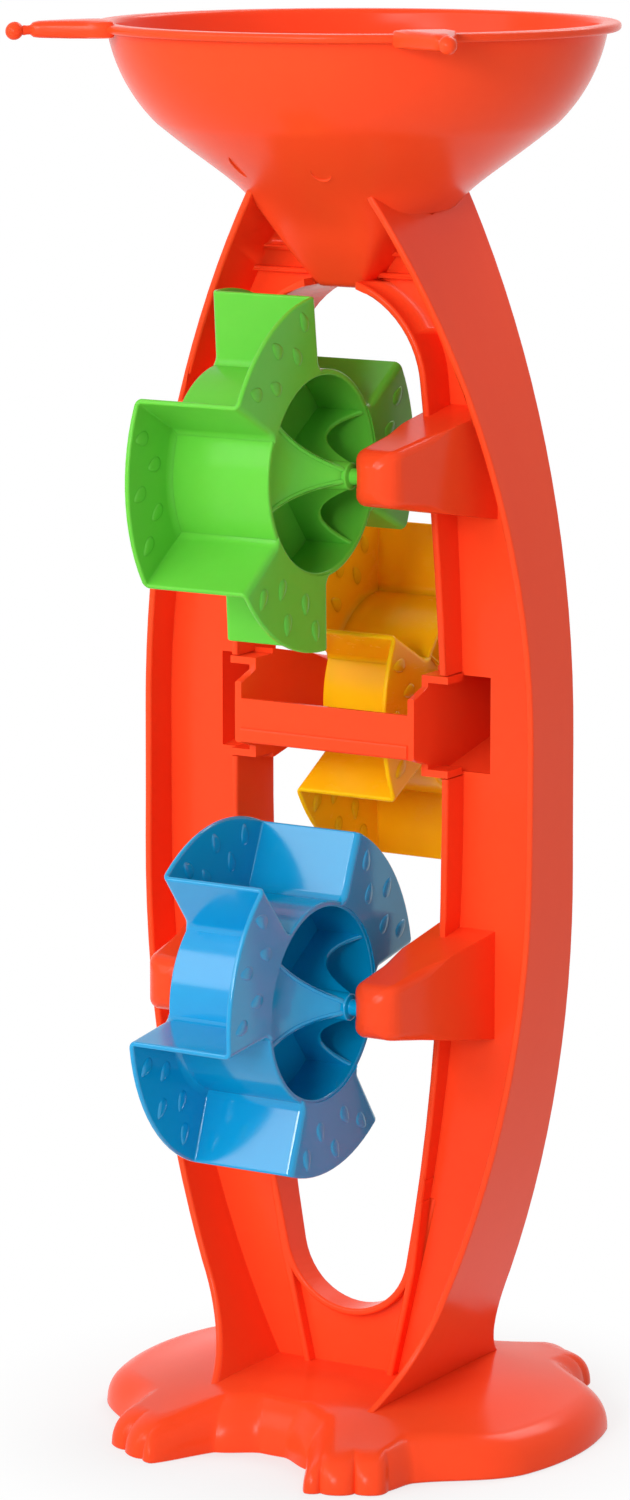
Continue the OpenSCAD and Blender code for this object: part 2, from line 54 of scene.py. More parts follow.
# %% [markdown]
# ## Camera
# The photograph was taken a little from the right and from just above the funnel, with a long
# lens, so upright edges stay nearly parallel. The numbers come from fitting the lip's ellipse,
# the drums and the hoop's edges. The camera's distance, its offset to the left and its height are
# in millimetres, and the long side of the frame is the sensor's 36 mm.

# %% Place the camera
VIEW_SIDE = math.radians(31.333)
VIEW_DOWN = math.radians(10.567)
VIEW_FAR, VIEW_LEFT, VIEW_HEIGHT = 1635.46, 12.68, 516.96
SENSOR_MM, FOCAL_PX, LONG_SIDE_PX = 36, 5421.53, 1500
away = np.array([math.sin(VIEW_SIDE), -math.cos(VIEW_SIDE), 0])
to_right = np.array([math.cos(VIEW_SIDE), math.sin(VIEW_SIDE), 0])
camera_data = bpy.data.cameras.new("camera")
camera_data.lens = SENSOR_MM * FOCAL_PX / LONG_SIDE_PX
camera_data.clip_end = 100
camera = bpy.data.objects.new("camera", camera_data)
camera.location = (VIEW_FAR * away - VIEW_LEFT * to_right + np.array([0, 0, VIEW_HEIGHT]) + SHIFT) * MM
camera.rotation_euler = (math.pi / 2 - VIEW_DOWN, 0, VIEW_SIDE)
bpy.context.scene.collection.objects.link(camera)
bpy.context.scene.camera = camera
bpy.context.scene.view_settings.view_transform = "Standard"
print("lens %.1f mm at %s" % (camera_data.lens, np.round(camera.location, 3)))

# %% [markdown]
# ## Shader sums
# A shader is a small formula. It reads best as a formula too, so this class wraps one output of a
# node and lets it stand in a Python sum, always as the first term. Numbers alone are worked out
# in Python.

# %% A wire that can be added and multiplied
class Wire:
    """One output of a shader node. A sum or product of wires and numbers adds its Math nodes."""

    def __init__(self, tree, socket=None):
        self.tree = tree
        self.socket = socket

    def node(self, kind, settings=None, sockets=None, output=0):
        """Adds a node of any type: its settings first, then the values or wires of its sockets."""
        made = self.tree.nodes.new(kind)
        for key, value in (settings or {}).items():
            setattr(made, key, value)
        for key, value in (sockets or {}).items():
            if isinstance(value, Wire):
                self.tree.links.new(value.socket, made.inputs[key])
            else:
                made.inputs[key].default_value = value
        return Wire(self.tree, made.outputs[output]) if len(made.outputs) else made

    def maths(self, operation, first, second):
        return self.node("ShaderNodeMath", {"operation": operation}, {0: first, 1: second})

    def __add__(self, other):
        return self.maths("ADD", self, other)

    def __sub__(self, other):
        return self.maths("SUBTRACT", self, other)

    def __mul__(self, other):
        return self.maths("MULTIPLY", self, other)


def new_material(name):
    """An empty material and a wire to build its tree with."""
    material = bpy.data.materials.new(name)
    material.use_nodes = True
    material.node_tree.nodes.clear()
    return material, Wire(material.node_tree)


def linear(colour):
    """Colour written as hex, turned into Blender's linear numbers: each part below 0.04045 is
    divided by 12.92, the others are (part + 0.055) / 1.055 to the power 2.4."""
    part = np.array([int(colour[k:k + 2], 16) / 255 for k in (1, 3, 5)])
    low = part / 12.92
    high = ((part + 0.055) / 1.055) ** 2.4
    return tuple(np.where(part < 0.04045, low, high)) + (1.0,)


print("sum of wires ready; toy red is", np.round(linear("#fa4d24"), 3))

# %% [markdown]
# ## Moulded plastic
# The real plastic is dyed right through, with a satin gloss from a polished mould. Up close it
# isn't flat: the colour drifts slightly where the melt flowed, the gloss is uneven from handling,
# and a faint grain breaks up the reflections. Each of these is one noise at its own scale. A
# little light also scatters inside the thin walls, which keeps the shaded sides glowing.

# %% One recipe for all four colours
def moulded_plastic(name, colour, deep, gloss, shine, glow):
    """Colour = dye mixed with its deeper tone by slow flow marks and fine mottling. Roughness =
    gloss + handling marks + fine polish lines. Bump = fine grain + very shallow waves. Shine is
    the strength of the clear reflection over the dye, and glow the share of light that wanders
    through the thin walls."""
    material, wire = new_material(name)
    place = wire.node("ShaderNodeTexCoord", output="Object")
    long_flow = wire.node("ShaderNodeMapping", {}, {"Vector": place, "Scale": (1, 1, 0.35)})
    flow = wire.node("ShaderNodeTexNoise", {}, {"Vector": long_flow, "Scale": 24.0, "Detail": 4.0,
                                                "Distortion": 0.8})
    mottle = wire.node("ShaderNodeTexNoise", {}, {"Vector": place, "Scale": 260.0, "Detail": 3.0})
    handling = wire.node("ShaderNodeTexNoise", {}, {"Vector": place, "Scale": 55.0, "Detail": 6.0,
                                                    "Roughness": 0.65})
    lines = wire.node("ShaderNodeMapping", {}, {"Vector": place, "Scale": (1, 1, 14),
                                                "Rotation": (0.6, 0.3, 0)})
    polish = wire.node("ShaderNodeTexNoise", {}, {"Vector": lines, "Scale": 90.0, "Detail": 3.0})
    grain = wire.node("ShaderNodeTexNoise", {}, {"Vector": place, "Scale": 1500.0, "Detail": 2.0})
    share = flow * 0.55 + mottle * 0.3 - 0.2
    tone = wire.node("ShaderNodeMix", {"data_type": "RGBA"},
                     {0: share, 6: linear(colour), 7: linear(deep)}, output=2)
    rough = handling * 0.14 + polish * 0.03 + (gloss - 0.085)
    bump = wire.node("ShaderNodeBump", {}, {"Strength": 0.15, "Distance": 0.00003,
                                            "Height": grain * 0.12 + mottle * 0.5 + flow * 1.6})
    shader = wire.node("ShaderNodeBsdfPrincipled", {}, {
        "Base Color": tone, "Roughness": rough, "Normal": bump, "IOR": 1.46,
        "Specular IOR Level": shine,
        "Subsurface Weight": glow, "Subsurface Radius": (1.0, 0.5, 0.3),
        "Subsurface Scale": 0.004})
    wire.node("ShaderNodeOutputMaterial", {}, {"Surface": shader})
    return material


red_plastic = moulded_plastic("red plastic", "#fa4d24", "#f44320",
                              gloss=0.22, shine=0.12, glow=0.1)
green_plastic = moulded_plastic("green plastic", "#68c640", "#54bb31",
                                gloss=0.22, shine=0.18, glow=0.25)
yellow_plastic = moulded_plastic("yellow plastic", "#ffc010", "#ffb408",
                                 gloss=0.26, shine=0.1, glow=0.35)
blue_plastic = moulded_plastic("blue plastic", "#029ad0", "#008ac4",
                               gloss=0.13, shine=0.62, glow=0.05)
print("materials:", [m.name for m in bpy.data.materials])

# %% [markdown]
# ## From formula to mesh
# Every moulding below is one or more skins. A skin is a grid of points: rows are the profile, and
# columns go along or round. A grid becomes faces by joining each point to its right-hand and next
# neighbours, and the last row or column joins the first where the skin closes on itself. Rows
# that shrink to a point close an end. Points that fall together are merged, so seams and poles
# are shut, and then all faces are turned outwards.

# %% Skins become pieces
MERGE = 2e-6
NO_LENGTH = 1e-6


def grid_faces(rows, columns, rows_close, columns_close):
    """Each quad joins point (i, j) to (i + 1, j), (i + 1, j + 1) and (i, j + 1)."""
    i, j = np.meshgrid(np.arange(rows - (not rows_close)),
                       np.arange(columns - (not columns_close)), indexing="ij")
    below, right = (i + 1) % rows, (j + 1) % columns
    quads = [i * columns + j, below * columns + j, below * columns + right, i * columns + right]
    return np.stack(quads, axis=-1).reshape(-1, 4)


def skins_to_mesh(name, skins):
    """One closed mesh from several skins, each (points in mm, rows close, columns close), and the
    number of its edges that don't join two faces, which should be none."""
    points, faces, start = [], [], 0
    for grid, rows_close, columns_close in skins:
        rows, columns = grid.shape[:2]
        points.append((grid.reshape(-1, 3) + SHIFT) * MM)
        faces.append(grid_faces(rows, columns, rows_close, columns_close) + start)
        start += rows * columns
    mesh = bpy.data.meshes.new(name)
    mesh.from_pydata(np.concatenate(points), [], np.concatenate(faces).tolist())
    work = bmesh.new()
    work.from_mesh(mesh)
    bmesh.ops.remove_doubles(work, verts=work.verts, dist=MERGE)
    bmesh.ops.dissolve_degenerate(work, edges=work.edges, dist=NO_LENGTH)
    bmesh.ops.recalc_face_normals(work, faces=work.faces)
    open_edges = sum(1 for edge in work.edges if not edge.is_manifold)
    work.to_mesh(mesh)
    work.free()
    return mesh, open_edges


def shade_by_angle(mesh, angle):
    """Smooth shading, but edges that bend by more than the angle stay sharp."""
    mesh.shade_smooth()
    mesh.set_sharp_from_angle(angle=angle)


def keep_flats(piece):
    """Large flat faces set the shading of the small rounds beside them, and so look flat."""
    flat = piece.modifiers.new("flat faces stay flat", "WEIGHTED_NORMAL")
    flat.keep_sharp = True


def make_piece(name, skins, material, node, body, sharp=48):
    """One object that dresses a node and rides its body."""
    mesh, open_edges = skins_to_mesh(name, skins)
    shade_by_angle(mesh, math.radians(sharp))
    mesh.materials.append(material)
    piece = bpy.data.objects.new(name, mesh)
    bpy.context.scene.collection.objects.link(piece)
    keep_flats(piece)
    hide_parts(node)
    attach(piece, body)
    print("%s: %d skins, %d faces, %d open edges" % (name, len(skins), len(mesh.polygons), open_edges))


# %% Small helpers for outlines
def arc(centre, radius, start, end, steps):
    """Points at centre + radius * (cos, sin) of evenly spaced angles in degrees."""
    angle = np.radians(np.linspace(start, end, steps))
    return np.stack([centre[0] + radius * np.cos(angle), centre[1] + radius * np.sin(angle)], axis=1)


def rounded(corners, radii, steps=5):
    """Closed outline whose corners become arcs: each arc touches both sides, so its centre lies
    on the corner's bisector at radius / sin(half angle)."""
    corners = np.array(corners, float)
    radii = np.broadcast_to(radii, len(corners))
    outline = []
    for k, corner in enumerate(corners):
        back = corners[k - 1] - corner
        ahead = corners[(k + 1) % len(corners)] - corner
        back, ahead = back / np.hypot(*back), ahead / np.hypot(*ahead)
        half = np.arccos(np.clip(back @ ahead, -1, 1)) / 2
        reach = radii[k] / math.tan(half)
        middle = corner + (back + ahead) / np.hypot(*(back + ahead)) * radii[k] / math.sin(half)
        first, last = corner + back * reach - middle, corner + ahead * reach - middle
        turn = np.linspace(0, 1, steps)[:, None]
        sweep = first * (1 - turn) + last * turn
        sweep *= radii[k] / np.linalg.norm(sweep, axis=1, keepdims=True)
        outline.append(middle + sweep)
    return np.concatenate(outline)


def lathe(profile, turn, centre):
    """Turns a profile of (distance along the axle, radius) round the axle through centre: a point
    is (along, centre y + radius * cos, centre z + radius * sin) for each angle in degrees."""
    angle = np.radians(turn)[None, :]
    along = np.repeat(profile[:, :1], len(turn), axis=1)
    return np.stack([along, centre[0] + profile[:, 1:] * np.cos(angle),
                     centre[1] + profile[:, 1:] * np.sin(angle)], axis=-1)


def capped(rings):
    """Skin of a row of rings, shut by a pole in the middle of the first and of the last."""
    poles = [np.broadcast_to(rings[k].mean(axis=0), rings[k].shape) for k in (0, -1)]
    return np.stack([poles[0], *rings, poles[1]]), False, True


print("a rounded square has", len(rounded([[0, 0], [1, 0], [1, 1], [0, 1]], 0.1)), "points")

# %% [markdown]
# ## Paddle wheels
# Each wheel is one moulding: a drum, six paddles, and end plates that close every second gap on
# the right and the others on the left. Seen unrolled, paddles and plates are a single wall that
# runs to and fro across the wheel like a meander. So one wall section is carried along one closed
# meander, with a round at every turn, as the mould gives it. That is truer than six slabs and six
# sectors pushed together, which would leave hard creases where the real wall bends.

# %% The meander wall
DRUM_R, TIP_R, HALF_LEN, WALL = 31.0, 53.0, 18.0, 1.8
MIDDLE_R = (DRUM_R + TIP_R) / 2
PLATES, PLATE_STEP, PLATE_SPAN = 3, 120, 57.0


def meander(phase, bend=1.3, steps=6):
    """Closed path of the wall's middle as (angle, distance along the axle) in degrees and mm,
    with its sideways direction, at the wheel's middle radius."""
    edge = HALF_LEN - WALL / 2
    scale = math.radians(1) * MIDDLE_R
    corners = []
    for k in range(PLATES):
        middle = phase + PLATE_STEP * k
        left, right = middle - PLATE_SPAN / 2, middle + PLATE_SPAN / 2
        corners += [[left * scale, -edge], [left * scale, edge],
                    [right * scale, edge], [right * scale, -edge]]
    corners = np.array(corners)
    length = 360 * scale
    looped = np.concatenate([corners[-2:] - [length, 0], corners, corners[:2] + [length, 0]])
    path = []
    for k in range(2, len(looped) - 2):
        back, ahead = looped[k - 1] - looped[k], looped[k + 1] - looped[k]
        back, ahead = back / np.hypot(*back), ahead / np.hypot(*ahead)
        middle = looped[k] + (back + ahead) * bend
        turn = np.linspace(0, math.pi / 2, steps)[:, None]
        path.append(middle - ahead * bend * np.cos(turn) - back * bend * np.sin(turn))
        reach = np.hypot(*(looped[k + 1] - looped[k])) - 2 * bend
        share = np.linspace(0, 1, 14)[1:-1, None]
        path.append(looped[k] + ahead * (bend + reach * share))
    path = np.concatenate(path)
    step = np.roll(path, -1, axis=0) - np.roll(path, 1, axis=0)
    step[:, 0] = (step[:, 0] + length / 2) % length - length / 2
    side = np.stack([-step[:, 1], step[:, 0]], axis=1) / np.linalg.norm(step, axis=1, keepdims=True)
    return path / [scale, 1], side


def meander_wall(phase, centre):
    """Wall section, half thickness against radius, carried along the meander: a point lies at
    angle + offset / radius and along + offset, pushed sideways by the section's offset. The
    section is a root that flares into the drum, a rise that thins a little and a round tip."""
    path, side = meander(phase)
    half = WALL / 2
    root = [[half + 1.6, DRUM_R - 0.9], [half + 1.3, DRUM_R - 0.3], [half + 0.75, DRUM_R + 0.3],
            [half + 0.3, DRUM_R + 1.0], [half + 0.06, DRUM_R + 1.9]]
    rise = [[half - 0.12 * s, DRUM_R + 2.5 + (TIP_R - DRUM_R - 3.2) * s] for s in np.linspace(0, 1, 9)]
    top = arc((half - 0.72, TIP_R - 0.6), 0.6, 0, 90, 5)
    one_side = np.concatenate([root, rise, top])
    section = np.concatenate([one_side, one_side[::-1] * [-1, 1]])
    offset, radius = section[:, :1], section[:, 1:]
    angle = np.radians(path[:, 0])[None, :] + offset * side[:, 0][None, :] / radius
    along = np.clip(path[:, 1][None, :] + offset * side[:, 1][None, :], -HALF_LEN, HALF_LEN)
    radius = np.repeat(radius, len(path), axis=1)
    return np.stack([along, centre[0] + radius * np.cos(angle), centre[1] + radius * np.sin(angle)],
                    axis=-1)


print("meander has", len(meander(0)[0]), "points")

# %% [markdown]
# The drum is a tube with rounded ends. Inside it a thin middle disc carries the hub, and upright
# fins brace the hub to the drum. On each end two of the fins follow a trumpet curve, with a
# closed skin between them, and the other two dip deep into the drum. The stub axles come out of
# the hub's shoulders.

# %% Drum, hub and fins
INNER_R, HUB_R, SHOULDER, STUB_END, STUB_R = 29.2, 4.1, 27.5, 35.0, 2.5
TRUMPET_FINS, DIPPED_FINS, FIN_DIP = (145, 196), (32, 309), 8
FIN_FROM, FIN_TO, FIN_HALF, SKIN = HUB_R - 1.5, DRUM_R - 0.6, 0.8, 1.6
ROUND = np.linspace(0, 360, 161)[:-1]


def drum(centre):
    end = HALF_LEN - 0.4
    tube = rounded([[-end, INNER_R], [end, INNER_R], [end, DRUM_R], [-end, DRUM_R]], 0.55)
    return lathe(tube, ROUND, centre), True, True


def hub(centre):
    """Half profile from the stub's end over the shoulder to the middle disc, mirrored for the
    other side. The flare into the disc is a quarter round."""
    half = np.concatenate([
        [[STUB_END, 0]], arc((STUB_END - 0.7, STUB_R - 0.7), 0.7, 0, 90, 5),
        [[SHOULDER + 0.25, STUB_R]], arc((SHOULDER - 0.5, HUB_R - 0.5), 0.5, 0, 90, 4),
        [[14, HUB_R + 0.5], [7, HUB_R + 1.1]], arc((5.8, HUB_R + 6.1), 5.0, 270, 180, 8),
        [[0.8, INNER_R - 6], [0.8, INNER_R + 0.8]]])
    profile = np.concatenate([half, half[::-1] * [-1, 1]])
    return lathe(profile, ROUND, centre), False, True


def inward(radius):
    """Share of the way in from the drum's wall to the hub."""
    return np.clip((INNER_R - radius) / (INNER_R - HUB_R), 0, 1)


def fin_edge(radius, dip):
    """Edge of a fin along the axle: flat at the drum, rising as the cube of the way in, less a
    dip that follows a sine."""
    way = inward(radius)
    base = HALF_LEN - 0.8
    return base + (SHOULDER - base) * way ** 3 - dip * np.sin(math.pi * way ** 0.83)


def fin(angle, dip, side, centre):
    """Section of the fin, thickness against height with a round top, carried from hub to drum.
    Its first and last sections shrink to a point, inside the hub and inside the drum's wall."""
    radius = np.concatenate([[FIN_FROM], np.linspace(FIN_FROM, FIN_TO, 34), [FIN_TO]])
    height = fin_edge(np.maximum(radius, HUB_R), dip) - 0.4
    top = arc((0, -FIN_HALF), FIN_HALF, 0, 180, 7)
    across = np.concatenate([[FIN_HALF], top[:, 0], [-FIN_HALF]])[:, None] * np.ones(len(radius))
    share = np.concatenate([[0.0], top[:, 1], [0.0]])[:, None]
    along = height + share
    along[0], along[-1] = 0.1, 0.1
    for end in (0, -1):
        across[:, end], along[:, end] = 0, height[end] / 2
    out = np.repeat(radius[None, :], len(across), axis=0)
    cos, sin = math.cos(math.radians(angle)), math.sin(math.radians(angle))
    return np.stack([along * side, centre[0] + out * cos - across * sin,
                     centre[1] + out * sin + across * cos], axis=-1), True, False


def trumpet(start, end, side, centre):
    """Closed skin between two fins: the trumpet curve turned through their angle, 1.6 mm thick,
    with both cut edges buried in the fins."""
    radius = np.linspace(FIN_FROM, FIN_TO, 30)
    upper = np.stack([fin_edge(np.maximum(radius, HUB_R), 0) - 1.1, radius], axis=1)
    lower = upper - [SKIN, 0]
    loop = np.concatenate([upper, lower[::-1]]) * [side, 1]
    turn = np.concatenate([[start], np.linspace(start, end, 26), [end]])
    grid = lathe(loop, turn, centre)
    grid[:, 0], grid[:, -1] = grid[:, 0].mean(axis=0), grid[:, -1].mean(axis=0)
    return grid, True, False


hub_edge, drum_edge = fin_edge(HUB_R, 0), fin_edge(INNER_R, 0)
print("trumpet edge at the hub %.1f mm, at the drum %.1f mm" % (hub_edge, drum_edge))

# %% [markdown]
# Small raised drops decorate the end plates. They are low domes on a teardrop outline, in two
# staggered rows, on each plate's right-hand face, so the left-hand plates show them inside.

# %% Drops and the whole wheel
def drop(angle, radius, face, centre, tilt=20.0, long=3.5, wide=2.1, height=0.6):
    """Dome on a teardrop: the outline's half width is wide * sin * (1 - 0.35 cos), and the height
    falls as the root of one minus the share squared."""
    share = np.linspace(0, 1, 9)[:, None]
    turn = np.linspace(0, 2 * math.pi, 25)[None, :-1]
    up = long * share * np.cos(turn)
    over = wide * share * np.sin(turn) * (1 - 0.35 * np.cos(turn))
    lift = height * np.sqrt(np.clip(1 - share ** 2, 0, 1)) + 0 * turn
    lean = math.radians(tilt)
    out = up * math.cos(lean) - over * math.sin(lean)
    along_turn = up * math.sin(lean) + over * math.cos(lean)
    base = math.radians(angle)
    y = (radius + out) * math.cos(base) - along_turn * math.sin(base)
    z = (radius + out) * math.sin(base) + along_turn * math.cos(base)
    dome = np.stack([face - 0.15 + lift, centre[0] + y, centre[1] + z], axis=-1)
    under = dome[-1:].copy()
    under[..., 0] -= 0.3
    pole = np.broadcast_to(under.mean(axis=1, keepdims=True), under.shape)
    return np.concatenate([dome, under, pole]), False, True


DROPS = [(-20, 47.5), (-11, 39.5), (0, 47.0), (10, 39.0), (20, 46.5)]


def wheel(name, phase, centre, material):
    """All skins of one wheel round its axle's place (y, z). Phase is the angle in degrees of the
    middle of its first right-hand plate, and the left-hand plates stand half a step on."""
    skins = [drum(centre), hub(centre), (meander_wall(phase, centre), True, True)]
    for side in (-1, 1):
        skins += [fin(angle, 0, side, centre) for angle in TRUMPET_FINS]
        skins += [fin(angle, FIN_DIP, side, centre) for angle in DIPPED_FINS]
        skins += [trumpet(*TRUMPET_FINS, side, centre)]
        first, face = (phase, HALF_LEN) if side > 0 else (phase + PLATE_STEP / 2, WALL - HALF_LEN)
        skins += [drop(first + PLATE_STEP * k + turn, radius, face, centre)
                  for k in range(PLATES) for turn, radius in DROPS]
    make_piece(name + "_moulding", skins, material, name, name)


AXLE_FRONT, AXLE_BACK = 48.5, 40.0
TOP_Z, MIDDLE_Z, BOTTOM_Z = 304, 224, 144
wheel("top_wheel", 4, (-AXLE_FRONT, TOP_Z), green_plastic)
wheel("middle_wheel", 60, (AXLE_BACK, MIDDLE_Z), yellow_plastic)
wheel("bottom_wheel", 38, (-AXLE_FRONT, BOTTOM_Z), blue_plastic)

# %% [markdown]
# ## Funnel
# The funnel is a bowl with a flat lip whose foot narrows into a square, tapering spout. One
# formula covers both: a superellipse, which is a circle at power 2 and a rounded square at a high
# power. The wall's outline is followed once round, up the outside, over the lip and down the
# inside, so bowl, lip and spout are one closed skin with a real thickness.

# %% Rings from spout to lip and back
RIM_R, RIM_Z, LIP_H, LIP_W = 79.0, 434.0, 2.6, 4.0
BOWL_R, BOWL_FROM, BOWL_TO = 51.0, -54, -10
CONE_R, CONE_SLOPE, FUNNEL_WALL = 25.2, math.radians(36), 2
SPOUT_X, SPOUT_Y, SPOUT_Z = 7.9, 10.2, 355
FLARE_X, FLARE_Y, FLARE_H = 16.3, 14.0, 23.0
SPOUT_ROWS_KEPT, BOWL_ROWS_BENT = 3, 20


def superellipse(half_x, half_y, power, turn):
    """Distance from the centre at an angle: (|cos| / half x) ** power plus (|sin| / half y) **
    power, to the power of minus one over power."""
    return ((np.abs(np.cos(turn)) / half_x) ** power
            + (np.abs(np.sin(turn)) / half_y) ** power) ** (-1 / power)


def spout_rows(inset, steps):
    """(half x, half y, power, z) rows up the spout's side, let in by an inset. The spout widens
    steadily from its foot and its corners soften from power 12 to power 2.4 towards the bowl."""
    share = np.linspace(0, 1, steps)
    return np.stack([SPOUT_X + FLARE_X * share - inset, SPOUT_Y + FLARE_Y * share - inset,
                     12 - 9.6 * share ** 1.5, SPOUT_Z + FLARE_H * share], axis=1)


def round_rows(line):
    """(radius, radius, 2, z) rows of a line of (radius, z) points, whose rings are circles."""
    return np.stack([line[:, 0], line[:, 0], np.full(len(line), 2.0), line[:, 1]], axis=1)


def bowl_rows(inset):
    """Rows from the bowl's foot along the cone and the arc to the lip."""
    end = math.radians(BOWL_TO)
    centre = (RIM_R - LIP_W - BOWL_R * math.cos(end), RIM_Z - LIP_H - BOWL_R * math.sin(end))
    curve = arc(centre, BOWL_R - inset, BOWL_FROM, BOWL_TO, 22)
    foot_r = CONE_R - inset
    foot_z = curve[0, 1] - (curve[0, 0] - foot_r) * math.tan(CONE_SLOPE)
    share = np.linspace(0, 1, 16)[:-1, None]
    cone = np.array([[foot_r, foot_z]]) * (1 - share) + curve[:1] * share
    return round_rows(np.concatenate([cone, curve]))


def soften(rows, passes=24):
    """Rounds the bend between spout and bowl: again and again, each row moves half way to the
    mean of its two neighbours, while the first and last stay."""
    rows = rows.copy()
    for _ in range(passes):
        rows[1:-1] += ((rows[:-2] + rows[2:]) / 2 - rows[1:-1]) / 2
    return rows


def side_rows(inset):
    """Rows from just above the spout's foot to the lip, with a soft bend at the bowl's foot. The
    spout stops short of the bowl's first row, and its lowest rows keep their straight taper."""
    spout, bowl = spout_rows(inset, 24)[1:], bowl_rows(inset)
    spout = spout[spout[:, 3] < bowl[0, 3] - 0.8]
    soft = soften(np.concatenate([spout[SPOUT_ROWS_KEPT:], bowl[:BOWL_ROWS_BENT]]))
    return np.concatenate([spout[:SPOUT_ROWS_KEPT], soft, bowl[BOWL_ROWS_BENT:]])


def rings_of(rows, turn, inset=0.0):
    """A ring of points for each row: each point lies at the superellipse's distance, less an
    inset, at its angle."""
    reach = superellipse(rows[:, :1], rows[:, 1:2], rows[:, 2:3], turn) - inset
    height = np.repeat(rows[:, 3:], reach.shape[1], axis=1)
    return np.stack([reach * np.cos(turn), reach * np.sin(turn), height], axis=-1)


def funnel_skin():
    """Two rows under the spout's foot, the outside, the lip, and the inside back down."""
    lip = np.concatenate([[[RIM_R - LIP_W + 0.3, RIM_Z - LIP_H]],
                          arc((RIM_R - 1.1, RIM_Z - LIP_H + 1.1), 1.1, -90, 0, 6),
                          arc((RIM_R - 1.1, RIM_Z - 1.1), 1.1, 0, 90, 6),
                          arc((RIM_R - LIP_W - 0.4, RIM_Z - 1.6), 1.6, 90, 180, 6)])
    foot = np.concatenate([spout_rows(inset, 2)[:1] for inset in (FUNNEL_WALL - 0.4, 0.4)])
    inside = side_rows(FUNNEL_WALL)[::-1][1:]
    rows = np.concatenate([foot, side_rows(0), round_rows(lip), inside])
    return rings_of(rows, np.linspace(0, 2 * math.pi, 289)[None, :-1]), True, True


# %% Two small crescents moulded on the bowl
def crescent(angle, radius, wide, high, start, end, lean=0.0, thick=0.8):
    """A bead along part of an ellipse that lies on the cone: (side, up) = (wide * cos, high *
    sin), pushed sideways by lean * up. Its thickness follows a sine, so both ends taper."""
    share = np.linspace(0, 1, 25)[None, :]
    bend = np.radians(start + (end - start) * share)
    up = high * np.sin(bend)
    side = wide * np.cos(bend) + lean * up
    around = np.linspace(0, 2 * math.pi, 13)[:-1, None]
    size = thick * np.sin(math.pi * np.clip(share, 0.001, 0.999)) ** 0.6
    bowl = bowl_rows(0)
    out = radius + (up + size * np.sin(around)) * math.cos(CONE_SLOPE)
    height = np.interp(out, bowl[:, 0], bowl[:, 3])
    proud = size * np.cos(around) * 0.7
    out = out + proud * math.sin(CONE_SLOPE)
    height = height - proud * math.cos(CONE_SLOPE)
    turn = math.radians(angle) + side / radius + 0 * around
    return np.stack([out * np.cos(turn), out * np.sin(turn), height], axis=-1)


def closed_bead(grid):
    """Adds a pole at each end of a bead and turns it so that its rings close."""
    return capped(np.swapaxes(grid, 0, 1))


make_piece("funnel_bowl", [
    funnel_skin(), closed_bead(crescent(-109.6, 45.6, 0.9, 5.2, 95, 262, lean=0.2)),
    closed_bead(crescent(-72.6, 45.0, 3.1, 4.4, 160, 352))],
    red_plastic, "funnel", "stand")

# %% [markdown]
# ## Base
# The base is a low shell with four broad feet, each with three toes, and a bay at the front and
# at the back. Its edge is one polar function: a near circle that dips beside each foot, bulges at
# the toes and falls back to the bay. The top swells gently towards the middle, so the bay's walls
# are higher than the toes. The shoulder rolls from it down to the floor, and the grooves between
# the toes fade out as it rises.

# %% Edge and shoulder of the base
SIDE_R, SIDE_DIP, FOOT_OUT, BAY_R, BAY_DROP = 80, 8, 10, 60, 10
TOE_ANGLES, TOE_HALF, GROOVE = (55.6, 63.0, 70.3), 3.7, 2.6
DIP_TURN, FOOT_TURN, BAY_WALL_TURN, BAY_TURN = (18, 43), (44.5, 54.5), (70, 73.8), (70.5, 86)
TOE_CORNER_FROM, TOE_CORNER = 67, 5
TOP_MIDDLE, TOP_FALL, TOP_SPAN = 16, 4.6, (40, 78)
BASE_WALL, SHOULDER_ROLL = 2.2, 9.5


def smooth_step(a, b, x):
    """Nothing up to a, one from b on, and 3 share ** 2 - 2 share ** 3 between them."""
    share = np.clip((x - a) / (b - a), 0, 1)
    return share * share * (3 - 2 * share)


def hump(x, half_width):
    """One at x = 0, falling smoothly to nothing at half_width either side."""
    return 1 - smooth_step(0, half_width, np.abs(x))


def quarter_angle(turn):
    """Degrees from the nearer side: 0 at the sides, 90 in the middle of the front and back."""
    return np.degrees(np.abs(np.arcsin(np.sin(turn))))


def base_edge(turn, toe_depth, back):
    """Radius of the edge at an angle, brought in by back: 80 mm at the sides, 72 beside a foot,
    82 at the toes less their grooves, and 50 in the bays. Each toe is a half round, so that
    only a narrow groove parts it from the next, and the innermost turns a round corner into the
    bay. A bay's wall is nearly radial, so bringing it in also turns it away from the bay by the
    same distance. Angles are degrees from the side, the same in all four quarters."""
    quarter = quarter_angle(turn)
    away = quarter + np.degrees(np.arcsin(back / SIDE_R))
    toes = np.max([1 - ((quarter - place) / TOE_HALF) ** 2 for place in TOE_ANGLES], axis=0)
    toes = np.sqrt(np.clip(toes, 0, 1))
    foot = smooth_step(*FOOT_TURN, quarter)
    corner = np.clip((away - TOE_CORNER_FROM) / TOE_CORNER, 0, 1)
    edge = SIDE_R - SIDE_DIP * smooth_step(*DIP_TURN, quarter) + FOOT_OUT * foot
    edge = edge - toe_depth * (1 - toes) * foot
    edge = edge - TOE_CORNER * (1 - np.sqrt(1 - corner ** 2))
    edge = edge + (BAY_R - edge) * smooth_step(*BAY_WALL_TURN, away)
    return edge - BAY_DROP * smooth_step(*BAY_TURN, away) - back


def top_height(radius):
    """Height of the top: 16 mm in the middle, sinking to 11.4 mm at the toes."""
    return TOP_MIDDLE - TOP_FALL * smooth_step(*TOP_SPAN, radius)


